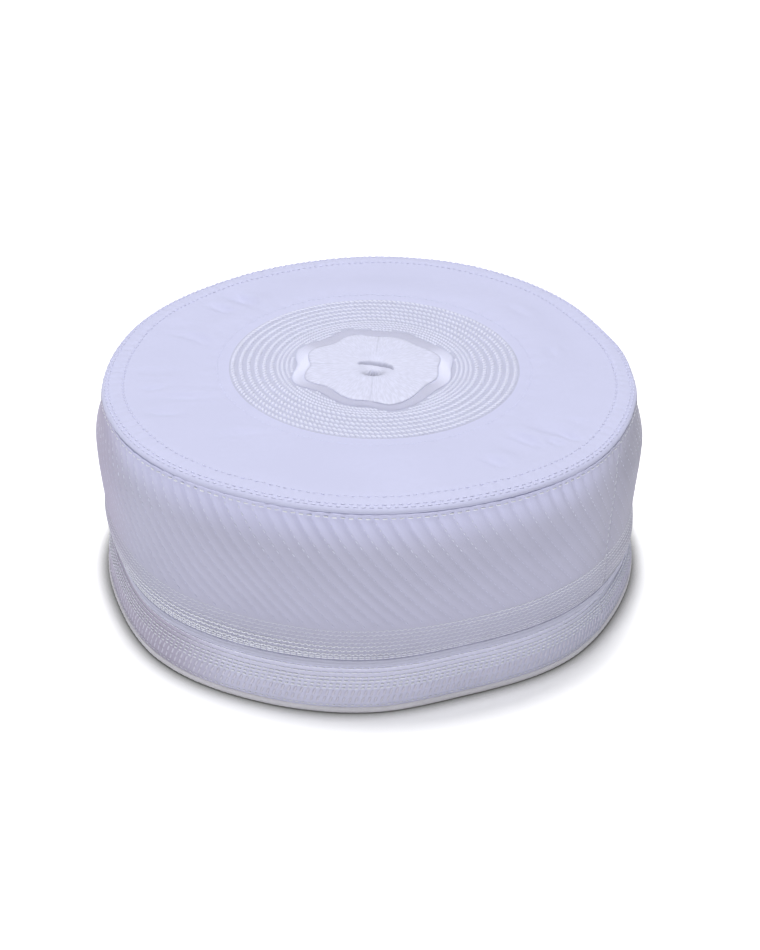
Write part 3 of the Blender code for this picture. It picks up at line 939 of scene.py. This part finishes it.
def satin_painted_sheen(tree, places, base, colour):
    """Painted sheen: the satin is coloured lighter where the band runs past the flower's left and right,
    where its threads lie across the cap.
    """
    from_middle = vector_maths(tree, "SUBTRACT", places["Object"], AXIS)[0]
    flat = vector_maths(tree, "MULTIPLY", from_middle, (1.0, 1.0, 0.0))[0]
    length = vector_maths(tree, "LENGTH", flat)["Value"]
    aside = maths(tree, "DIVIDE", maths(tree, "ABSOLUTE", axes(tree, from_middle)[0]), length)
    return mix_colours(tree, ease(tree, aside, 0.80, 0.96), base, linear(SATIN_PAINTED_SHEEN))


def petal_streaks_and_shade(tree, places, base, colour):
    """Fine streaks that run outward as the petals' threads do, and painted shade down in the eyelet and
    faintly along the partings.
    """
    threads = vector_maths(tree, "MULTIPLY", places["UV"], (230.0, 30.0, 0.0))[0]
    streaks = ease(tree, soft_noise(tree, threads, 1.0, 3.0), 0.40, 0.62)
    base = mix_colours(tree, streaks, linear(colour, 0.925), base)
    painted_petal_shade = tree.nodes.new("ShaderNodeAttribute")
    painted_petal_shade.attribute_name = "painted_petal_shade"
    return mix_colours(tree, painted_petal_shade.outputs["Fac"], base, linear(colour, 0.74))


CROWN_COTTON = cotton("crown_cotton", CROWN_WHITE, 0.80, 0.15, follows_cloth=False, finish=crown_tone_and_hole_shade)
WALL_COTTON = cotton("quilted_cotton", WALL_WHITE, 0.80, 0.10, finish=wall_light_shade_and_eyelets)
WELT_COTTON = cotton("welt_cotton", WELT_WHITE, 0.75, 0.10)
BAND_COTTON = cotton("band_cotton", BAND_WHITE, 0.80, 0.10, finish=band_side_shade)
BINDING_COTTON = cotton("binding_cotton", BINDING_WHITE, 0.75, 0.10)
ROW_THREAD = thread("row_thread", THREAD_WHITE, 0.45, 0.40)
SATIN_THREAD = thread("satin_thread", SATIN_WHITE, 0.38, 0.42, metallic=0.05, finish=satin_painted_sheen)
PETAL_THREAD = thread("petal_thread", PETAL_WHITE, 0.50, 0.35, finish=petal_streaks_and_shade)
SEWING_THREAD = thread("sewing_thread", SEWING_WHITE, 0.45, 0.35)
EDGE_THREAD = thread("edge_thread", EDGE_ROW_WHITE, 0.50, 0.30)
QUILTING_THREAD = thread("quilting_thread", QUILTING_WHITE, 0.50, 0.30)
STROKE_THREAD = thread("stroke_thread", STROKE_WHITE, 0.50, 0.30)
GROUND_SHADE_THREAD = thread("ground_shade_thread", GROUND_SHADE_WHITE, 0.75, 0.20)


def wrinkle_relief(azimuth, radius):
    """Depth of the crown's sharper wrinkles at each point: a crease with a soft ridge beside it."""
    points = upright(azimuth, radius, 0 * radius)[:, :2]
    depth = np.zeros(len(points))
    for from_x, from_y, to_x, to_y, bow, half_width, deep in WRINKLES:
        start, end = np.array((from_x, from_y)), np.array((to_x, to_y))
        half_length = np.linalg.norm(end - start) / 2
        run = (end - start) / (2 * half_length)
        offset = points - (start + end) / 2
        along = (offset @ run) / half_length
        aside = offset @ np.array((-run[1], run[0])) - bow * (1 - along ** 2)
        fade = bump(along, 1.25)
        depth -= deep * fade * bump(aside, half_width)
        depth += 0.45 * deep * fade * bump(aside - 1.4 * half_width, 1.2 * half_width)
    return depth


def make_crown():
    """The crown's cotton: soft undulations, wrinkles, stitch rows pulled in, and puckers at its edge."""
    line = curve_through(crown_curve(), 0.0006)
    roll_from = RIM_RADIUS - SHOULDER_ROLL - 0.0016
    near_ring = np.abs(line[:, 0] - RING_ROW_RADIUS) < 0.002
    coarse = (np.arange(len(line)) % 3 == 0) & (line[:, 0] < roll_from)
    kept = coarse | near_ring | (line[:, 0] >= roll_from)
    upper = line[kept]
    tucked = [(RIM_RADIUS - 0.0002, SEAM_HEIGHT - 0.0005), (RIM_RADIUS - SEAM_ALLOWANCE, SEAM_HEIGHT)]
    under = [(radius, height - CROWN_CLOTH) for radius, height in crown_curve()[:10][::-1][::2]]
    section = [tuple(point) for point in upper] + tucked + under

    def shape(azimuth, radius, height):
        on_top = height > crown_top(np.minimum(radius, RIM_RADIUS * 0.995)) - CROWN_CLOTH / 2
        outward, upward = crown_shift(azimuth, radius)
        return azimuth, radius + np.where(on_top, outward, 0.0), height + np.where(on_top, upward, 0.0)

    model = turned(section, 720, closed=False)
    piece = cloth_piece("crown_cloth", model, shape, CROWN_COTTON, "crown", flat_top=True)


def make_wall():
    """The quilted wall, with its rows, its gathers under the seam and its turned-in head."""
    outer = curve_through(wall_curve(), 0.00085)
    inner = []
    for share, out in WALL_SWELL_SHARES[1:-2][::-2]:
        base = HEM_RADIUS + (RIM_RADIUS - HEM_RADIUS) * share
        inner.append((base + (out - 1) * WALL_QUILT, WALL_FOOT + share * (WALL_HEAD - WALL_FOOT)))
    turned_in = [(RIM_RADIUS - 0.0004, WALL_HEAD - 0.0003), (RIM_RADIUS - SEAM_ALLOWANCE, WALL_HEAD - 0.0006)]
    section = [tuple(point) for point in outer] + turned_in + inner
    section.append((inner[-1][0], WALL_FOOT))
    model = turned(section, 960)
    shape = faced(WALL_LINE, wall_face, WALL_QUILT / 6)
    piece = cloth_piece("quilted_wall", model, shape, WALL_COTTON, "side_wall")


def make_welt():
    """The welt: a cord in a folded strip, with fine puckers where it is stitched down."""
    middle = (WELT_FOOT + WELT_HEAD) / 2
    half = (WELT_HEAD - WELT_FOOT) / 2
    back = HEM_RADIUS - WALL_QUILT
    root = HEM_RADIUS - 0.66 * BAND_CLOTH
    bulge = 0.0009
    section = [(back, middle - half)]
    for step in range(17):
        turn = math.pi * step / 16 - math.pi / 2
        section.append((root + bulge * max(0.0, math.cos(turn)) ** 0.35, middle + half * math.sin(turn)))
    section.append((back, middle + half))

    def shape(azimuth, radius, height):
        puckers = 0.00009 * np.sin(np.radians(azimuth) * 257)
        swell = puckers + 0.00016 * uneven(upright(azimuth, radius, height), 0.006, 2.2)
        fold = 0.00007 * np.cos((height - middle) / half * math.pi * 2.5)
        return azimuth, radius + np.where(radius > root, swell + fold, 0.0), height

    piece = cloth_piece("welt_cord", turned(section, 720), shape, WELT_COTTON, "welt")


def make_band():
    """The lower band, pressed in along its stitch lines."""
    outer = [tuple(point) for point in curve_through(band_curve(), 0.0005)]
    middle = outer[len(outer) // 2]
    inner = [(radius - BAND_CLOTH, height) for radius, height in (outer[-1], middle, outer[0])]
    model = turned(outer + inner, 960)
    shape = faced(BAND_LINE, band_face, BAND_CLOTH / 2)
    piece = cloth_piece("band_cloth", model, shape, BAND_COTTON, "lower_band")


def make_binding():
    """The folded strip round the hem: flat where it rests, rounded at its outer edge."""
    outer = HEM_RADIUS + 0.30 * BINDING_CLOTH
    inner = HEM_RADIUS - BAND_CLOTH
    rounded = curve_through([
        (outer - 0.35 * BINDING_CLOTH, 0.0),
        (outer, 0.22 * BINDING_HEIGHT),
        (outer + 0.05 * BINDING_CLOTH, 0.50 * BINDING_HEIGHT),
        (outer, 0.78 * BINDING_HEIGHT),
        (outer - 0.30 * BINDING_CLOTH, BINDING_HEIGHT),
    ], 0.0003)
    section = [(inner + 0.2 * BINDING_CLOTH, 0.0)] + [tuple(point) for point in rounded]
    section += [(inner, BINDING_HEIGHT), (inner, 0.2 * BINDING_HEIGHT)]

    def shape(azimuth, radius, height):
        swell = 0.00012 * uneven(upright(azimuth, radius, height), 0.008, 6.1)
        pull = 0.00007 * np.sin(np.radians(azimuth) * 240)
        free = (radius > outer - BINDING_CLOTH) & (height > 1e-5)
        return azimuth, radius + np.where(free, swell + pull, 0.0), height

    model = turned(section, 720)
    piece = cloth_piece("binding_strip", model, shape, BINDING_COTTON, "hem_binding")


def make_row_ground():
    """The thin thread ground that the medallion's rows are sewn over, which shows between them in a darker
    colour, as painted shade between the rows.
    """
    levels = [(0.0215, 0.00002), (0.0220, 0.00014)]
    levels += [(radius, 0.00014) for radius in np.arange(0.0235, 0.0488, 0.0015)]
    levels += [(0.0490, 0.00014), (0.0496, 0.00002)]
    model = turned([(radius, float(crown_top(radius)) + rise) for radius, rise in levels], 360, closed=False)

    def shape(azimuth, radius, height):
        return azimuth, radius, height

    cloth_piece("row_ground", model, shape, GROUND_SHADE_THREAD, None, flat_top=True)


def make_rope_rows():
    """The medallion's rope rows: slanting stitches, wide in the outer rows and fine near the flower."""
    groups = []
    rows = [(0.0483 - 0.00265 * row, 0.00265, 0.00172) for row in range(6)]
    rows += [(0.0330 - 0.00155 * row, 0.00160, 0.00125) for row in range(5)]
    for index, (reach, width, pitch) in enumerate(rows):
        count = round(math.tau * reach / pitch)
        stretch = 360.0 / count
        azimuth = np.arange(count) * stretch + 40.0 * index
        azimuth = azimuth[reach > satin_middle(azimuth) + SATIN_WIDTH / 2 + 0.3 * width]
        reaches = reach + 0.00006 * np.sin(np.radians(azimuth) * 7 + index)
        base = crown_top(reach) + 0.00010 + 0 * azimuth
        start = (azimuth - 0.44 * stretch, reaches - 0.24 * width, base)
        end = (azimuth + 0.44 * stretch, reaches + 0.24 * width, base)
        groups.append(lay_beads(start, end, 0.0, 0.33 * pitch, 0.19 * width, sides=8, rings=5, overhang=1.1))
    bead_piece("rope_rows", groups, ROW_THREAD, "row_stitching")


def make_satin():
    """The satin band: threads laid side by side across it, each arched over the padding."""
    count = 620
    azimuth = np.arange(count) * 360.0 / count
    uneven_end = 0.00012 * np.array([noise.noise(Vector((value * 2.7, 0.3, 0.9))) for value in range(count)])
    outside = satin_middle(azimuth) + SATIN_WIDTH / 2
    base = crown_top(outside) + 0.00018
    start = (azimuth, satin_inside(azimuth) - uneven_end, base)
    end = (azimuth, outside + uneven_end, base)
    beads = lay_beads(start, end, 0.0, 0.00017, 0.00026, sides=6, rings=7)
    bead_piece("satin_band", [beads], SATIN_THREAD, "satin_outline")


def heart_relief(azimuth, radius):
    """The eyelet in the flower's middle: a groove behind it, a raised arc, and a ticked hollow in front."""
    x, y = upright(azimuth, radius, 0 * radius)[:, :2].T
    to_right = smooth(-0.0040, 0.0040, x)
    line = 0.0020 - 0.25 * x - 75.0 * x * x
    ends = smooth(-0.0060, -0.0044, x) * smooth(0.0068, 0.0054, x)
    groove = -(0.00130 + 0.00070 * to_right) * bump(y - line, 0.0013 + 0.0009 * to_right) * ends
    arc = 0.00030 * bump(y - line + 0.0021, 0.0014) * ends
    hollow_oval = np.hypot((x + 0.0004) / 0.0050, (y + 0.0052) / 0.0034)
    ticks = 1 + 0.25 * np.cos(np.radians(azimuth) * 30)
    hollow = -0.00200 * bump(hollow_oval, 1.0) * ticks
    rim = 0.00015 * bump(hollow_oval - 1.35, 0.45)
    return np.maximum(groove + arc + hollow + rim, -0.0021)


def make_flower():
    """The petals: flat satin threads that run outward from the eyelet, with three faint parting lines."""
    mean_edge = FLOWER_RADIUS - SATIN_WIDTH / 2
    fine, coarse = np.arange(0.0, 0.0090, 0.0003), np.arange(0.0090, mean_edge - 0.0004, 0.0010)
    rings = np.concatenate((fine, coarse, [mean_edge]))
    section = [(radius, 1.0) for radius in rings] + [(mean_edge, 0.0), (0.4 * mean_edge, 0.0), (0.0, 0.0)]

    def shape(azimuth, radius, height):
        edge = satin_inside(azimuth) + 0.0004
        out = radius / mean_edge
        reach = radius * (1 + (edge / mean_edge - 1) * smooth(0.25, 0.8, out))
        parting = sum(bump(turn_between(azimuth, line), 2.4) for line in PARTINGS)
        nearest = np.min([np.abs(turn_between(azimuth, row[0])) for row in PETAL_SHARES], axis=0)
        body = 0.00052 - 0.00016 * parting * smooth(0.25, 0.45, out)
        body = body - 0.00010 * bump(nearest, 7.0) * smooth(0.55, 0.95, out)
        body = body - 0.00030 * smooth(0.93, 1.0, out)
        threads = 0.00005 * np.cos(np.radians(azimuth) * 360) * smooth(0.10, 0.2, out)
        flecks = 0.00013 * uneven(upright(azimuth * 3, reach, 0 * reach), 0.0022, 4.4)
        base = crown_top(reach) + SEWN_GAP
        upper = body + threads + flecks + heart_relief(azimuth, reach)
        return azimuth, reach, base + np.where(height > 0.5, upper, -0.0019 * smooth(0.0115, 0.0090, reach))

    model = turned(section, 720, closed=False)
    piece = cloth_piece("petals", model, shape, PETAL_THREAD, "flower", flat_top=True)
    # Painted shade, kept as a point attribute: darker down in the eyelet's groove and hollow, and faintly
    # along the parting lines.
    places = np.empty(len(piece.data.vertices) * 3)
    piece.data.vertices.foreach_get("co", places)
    azimuth, radius, _ = round_place(places.reshape(-1, 3) - AXIS)
    painted_petal_shade = np.clip(-heart_relief(azimuth, radius) / 0.0015, 0.0, 1.0)
    parting = sum(bump(turn_between(azimuth, line), 1.5) for line in PARTINGS)
    parting = parting * smooth(0.0070, 0.0110, radius)
    painted_petal_shade = np.maximum(painted_petal_shade, 0.28 * parting)
    piece.data.attributes.new("painted_petal_shade", "FLOAT", "POINT").data.foreach_set("value", painted_petal_shade.astype(np.float32))


def make_topstitching():
    """Stitch rows along the crown's edge, on its roll, on the head of the wall and round the medallion."""
    def crown_row(radius, rise):
        def at(azimuth):
            outward, upward = crown_shift(azimuth, radius + 0 * azimuth)
            return radius + outward, crown_top(radius) + upward + rise
        return at

    rows = [
        # count, share, radius, rise, phase, tilt, half width, half height
        (RING_STITCHES, 0.62, RING_ROW_RADIUS, 0.00002, 0.19, 0.0, 0.00020, 0.00012),
        (EDGE_STITCHES, 0.60, EDGE_ROW_RADIUS, 0.00006, 0.20, 6.0, 0.00029, 0.00024),
    ]
    for radius, phase, tilt in ROLL_ROWS:
        rows.append((EDGE_STITCHES, 0.60, radius, STITCH_RISE, phase, tilt, 0.00030, 0.00028))
    groups = []
    for count, share, radius, rise, phase, tilt, half_width, half_height in rows:
        row = ring_of_stitches(count, share, crown_row(radius, rise), phase)
        groups.append(lay_beads(*row, tilt, half_width, half_height))
    bead_piece("topstitching", groups, EDGE_THREAD)
    head = ring_of_stitches(EDGE_STITCHES, 0.66, line_on(wall_face, WALL_ROW_HEIGHT), 0.18)
    bead_piece("head_stitches", [lay_beads(*head, 90.0, 0.00034, 0.00032)], SEWING_THREAD)


def make_quilting():
    """The dashes of the slanting quilting rows, plainer near the wall's head."""
    pitch, length, step = 0.0026, 0.0014, 0.0001
    height = np.arange(BORDER_HEAD, WALL_HEAD - 0.002, step)
    azimuths, lows, highs = [], [], []
    for row in range(QUILT_ROWS):
        seam_azimuth = row * 360.0 / QUILT_ROWS
        run = np.radians(np.gradient(quilt_azimuth(seam_azimuth + 0 * height, height), height)) * HEM_RADIUS
        gone = np.concatenate(([0.0], np.cumsum(np.hypot(1.0, (run[1:] + run[:-1]) / 2) * step)))
        first = pitch * (0.5 + 0.5 * noise.noise(Vector((row * 1.7, 5.0, 1.0))))
        places = np.arange(first, gone[-1] - length, pitch)
        lows.append(np.interp(places, gone, height))
        highs.append(np.interp(places + length, gone, height))
        azimuths.append(np.full(len(places), seam_azimuth))
    azimuth, low, high = (np.concatenate(values) for values in (azimuths, lows, highs))
    ends = [on_face(wall_face, quilt_azimuth(azimuth, level), level, 0.00003) for level in (low, high)]
    near_head = low > 0.0605 + 0.0030 * np.sin(azimuth * 12.9)
    # Near the head the dashes are larger and take the lighter row thread: painted light, as on the wall's
    # paler head.
    for name, chosen, size, material in (
        ("quilting", ~near_head, 0.00017, QUILTING_THREAD),
        ("head_quilting", near_head, 0.00025, ROW_THREAD),
    ):
        size = size * (1 - 0.45 * bump(turn_between(azimuth[chosen], 42.0), 50.0))
        start, end = ([part[chosen] for part in place] for place in ends)
        bead_piece(name, [lay_beads(start, end, 90.0, size, 0.8 * size)], material)


def make_border():
    """The eyelet border: wavy thread rows, fullest low at the front left and high at the right."""
    step = 360.0 / BORDER_CELLS
    pitch = (BORDER_HEAD - BORDER_FOOT) / BORDER_ROWS
    groups = []
    for row in range(BORDER_ROWS):
        azimuth = (np.arange(BORDER_CELLS) - 0.5 * row) * step
        full_low = float(smooth(3.6, 1.6, row)) * bump(turn_between(azimuth, -32.0), 48.0)
        full_high = 0.35 * float(smooth(3.6, 5.2, row)) * bump(turn_between(azimuth, 38.0), 42.0)
        worn = 0.10 * bump(turn_between(azimuth, -100.0), 40.0)
        full = 0.28 + 0.72 * np.maximum(full_low, full_high) - worn
        low = BORDER_FOOT + (row + 0.5) * pitch - EYELET_WAVE + 0 * azimuth
        start = on_face(wall_face, azimuth, low)
        for side in (0.5, -0.5):
            end = on_face(wall_face, azimuth + side * step, low + 2 * EYELET_WAVE)
            groups.append(lay_beads(start, end, 90.0, 0.00040 * full, 0.00032 * full, sides=6, overhang=1.15))
    for level in (BORDER_FOOT - 0.0001, BORDER_FOOT - 0.0009):
        line = ring_of_stitches(BORDER_CELLS, 1.0, line_on(wall_face, level))
        bright = 0.5 + 0.7 * bump(turn_between(line[0][0], -30.0), 50.0)
        groups.append(lay_beads(*line, 90.0, 0.00030 * bright, 0.00024 * bright))
    bead_piece("eyelet_border", groups, SEWING_THREAD)


def make_band_stitches():
    """The lower band's stitch lines, dashes and hem stitches, and two rows of slanting strokes."""
    strokes = []
    for low, high, width in ((0.0066, 0.0088, 0.00050), (0.0040, 0.0063, 0.00044)):
        azimuth = np.arange(STROKES) * 360.0 / STROKES + STROKE_LEAN * low
        start = on_face(band_face, azimuth, low + 0 * azimuth, -STITCH_RISE)
        over = azimuth + STROKE_LEAN * (high - low)
        end = on_face(band_face, over, high + 0 * azimuth, -STITCH_RISE)
        width = width * (1 - 0.6 * bump(turn_between(azimuth, -80.0), 55.0))
        strokes.append(lay_beads(start, end, 90.0, width, 0.4 * width, sides=6, rings=5))
    bead_piece("band_strokes", strokes, STROKE_THREAD)
    groups = []
    for level, count, share, width in (
        (0.0165, 250, 0.97, 0.00022),
        (0.0148, 250, 0.97, 0.00022),
        (0.0131, 290, 0.90, 0.00036),
        (0.0119, 290, 0.88, 0.00036),
        (0.0106, 290, 0.66, 0.00042),
        (0.0094, 290, 0.66, 0.00042),
        (0.0031, 300, 0.60, 0.00022),
    ):
        line = ring_of_stitches(count, share, line_on(band_face, level), level * 900)
        groups.append(lay_beads(*line, 90.0, width, 0.00018 + 0.2 * width))
    bead_piece("band_stitches", groups, SEWING_THREAD)


def make_join():
    """The stitches down the join of the wall."""
    high = np.arange(0.0330, 0.0725, 0.0026)
    low = high - 0.0016
    azimuth = JOIN_AZIMUTH - 0.4 + 0 * high
    start, end = (on_face(wall_face, azimuth, level, 0.00005) for level in (low, high))
    beads = lay_beads(start, end, 90.0, 0.00019, 0.00017)
    bead_piece("join_stitches", [beads], SEWING_THREAD)


def make_floor():
    """A plain pale floor that glows softly, more far away, with a tight shadow where the hem meets it."""
    model = bmesh.new()
    bmesh.ops.create_grid(model, x_segments=1, y_segments=1, size=FLOOR_REACH)
    mesh = bpy.data.meshes.new("floor")
    model.to_mesh(mesh)
    model.free()
    material = bpy.data.materials.new("floor_white")
    material.use_nodes = True
    tree = material.node_tree
    near = tree.nodes.new("ShaderNodeAmbientOcclusion")
    near.samples = 16
    near.inputs["Distance"].default_value = SHADOW_REACH
    clear = ease(tree, near.outputs["AO"], 0.44, 0.86)
    white = linear(FLOOR_WHITE)
    places = tree.nodes.new("ShaderNodeTexCoord").outputs
    distance = vector_maths(tree, "LENGTH", places["Object"])["Value"]
    near_glow = [FLOOR_GLOW * value for value in white[:3]] + [1.0]
    glow = mix_colours(tree, ease(tree, distance, *GLOW_GROWS), near_glow, white)
    shader = tree.nodes["Principled BSDF"]
    tree.links.new(mix_colours(tree, clear, linear(FLOOR_SHADOW), white), shader.inputs["Base Color"])
    tree.links.new(mix_colours(tree, clear, (0.0, 0.0, 0.0, 1.0), glow), shader.inputs["Emission Color"])
    shader.inputs["Emission Strength"].default_value = 1.0
    shader.inputs["Roughness"].default_value = 0.9
    shader.inputs["Specular IOR Level"].default_value = 0.0
    mesh.materials.append(material)
    floor = bpy.data.objects.new("floor", mesh)
    bpy.context.scene.collection.objects.link(floor)


def add_softbox(name, place, aim, size, watts):
    """A square white area light at a place, turned towards a point."""
    light = bpy.data.lights.new(name, "AREA")
    light.shape = "SQUARE"
    light.size = size
    light.energy = watts
    lamp = bpy.data.objects.new(name, light)
    lamp.location = place
    lamp.rotation_euler = (Vector(aim) - Vector(place)).to_track_quat("-Z", "Y").to_euler()
    bpy.context.scene.collection.objects.link(lamp)


def add_light():
    """An even pale room and soft boxes above and in front."""
    world = bpy.data.worlds.new("studio")
    world.use_nodes = True
    sky = world.node_tree.nodes["Background"]
    sky.inputs["Color"].default_value = (1.0, 1.0, 1.0, 1.0)
    sky.inputs["Strength"].default_value = SKY_STRENGTH
    bpy.context.scene.world = world
    add_softbox("overhead", *OVERHEAD)
    add_softbox("front", *FRONT)


def add_camera():
    """The camera at the photograph's angle."""
    camera = bpy.data.cameras.new("camera")
    camera.sensor_width = 36.0
    camera.lens = LENS
    camera.clip_start = 0.01
    item = bpy.data.objects.new("camera", camera)
    item.location = CAMERA_PLACE
    aim = Vector(CAMERA_AIM) - item.location
    turn = aim.to_track_quat("-Z", "Y").to_matrix() @ Matrix.Rotation(math.radians(CAMERA_ROLL), 3, "Z")
    item.rotation_euler = turn.to_euler()
    bpy.context.scene.collection.objects.link(item)
    bpy.context.scene.camera = item


make_crown()
make_wall()
make_welt()
make_band()
make_binding()
make_row_ground()
make_rope_rows()
make_satin()
make_flower()
make_topstitching()
make_quilting()
make_border()
make_band_stitches()
make_join()
make_floor()
add_light()
add_camera()
bpy.context.scene.view_settings.view_transform = "Standard"
bpy.context.view_layer.update()
